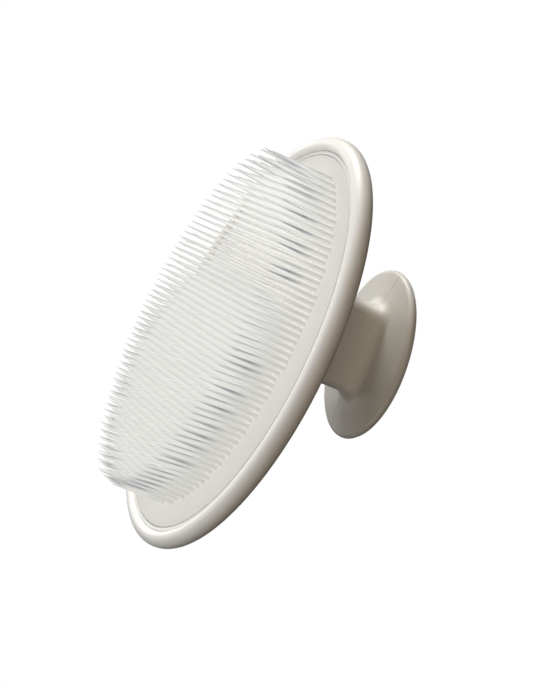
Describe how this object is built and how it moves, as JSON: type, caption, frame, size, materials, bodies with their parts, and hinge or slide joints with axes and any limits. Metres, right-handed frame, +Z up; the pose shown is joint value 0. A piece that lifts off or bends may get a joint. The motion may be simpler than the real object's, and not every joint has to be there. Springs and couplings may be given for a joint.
{
  "type": "facial cleansing brush",
  "caption": "Hand-held silicone face brush: oval head with a dense field of soft bristles, on a flat neck and an oval palm knob held between the fingers.",
  "frame": {"origin": "middle of the flat outer face of the palm knob, which is the face the brush stands on", "axes": "+Z up from the knob to the bristles, +X along the long axis of the oval head towards the end that the cant lowers, +Y across the head"},
  "size_m": [0.0892, 0.068, 0.0479],
  "materials": {
    "shell_abs": "gloss moulded ABS, warm white",
    "ring_abs": "gloss moulded ABS, warm white",
    "carrier_pp": "matt moulded polypropylene",
    "pad_silicone": "satin translucent silicone",
    "bristle_silicone": "translucent moulded silicone bristles",
    "gasket_silicone": "matt silicone",
    "screw_steel": "stainless steel"
  },
  "bodies": {
    "root": {"head_shell": "shell_abs", "pad_carrier": "carrier_pp", "bristle_pad": "pad_silicone", "clamp_ring": "ring_abs", "bristle_field": "bristle_silicone", "neck_screws": "screw_steel", "neck_gasket": "gasket_silicone", "handle": "shell_abs", "knob_cap": "shell_abs"}
  },
  "joints": []
}
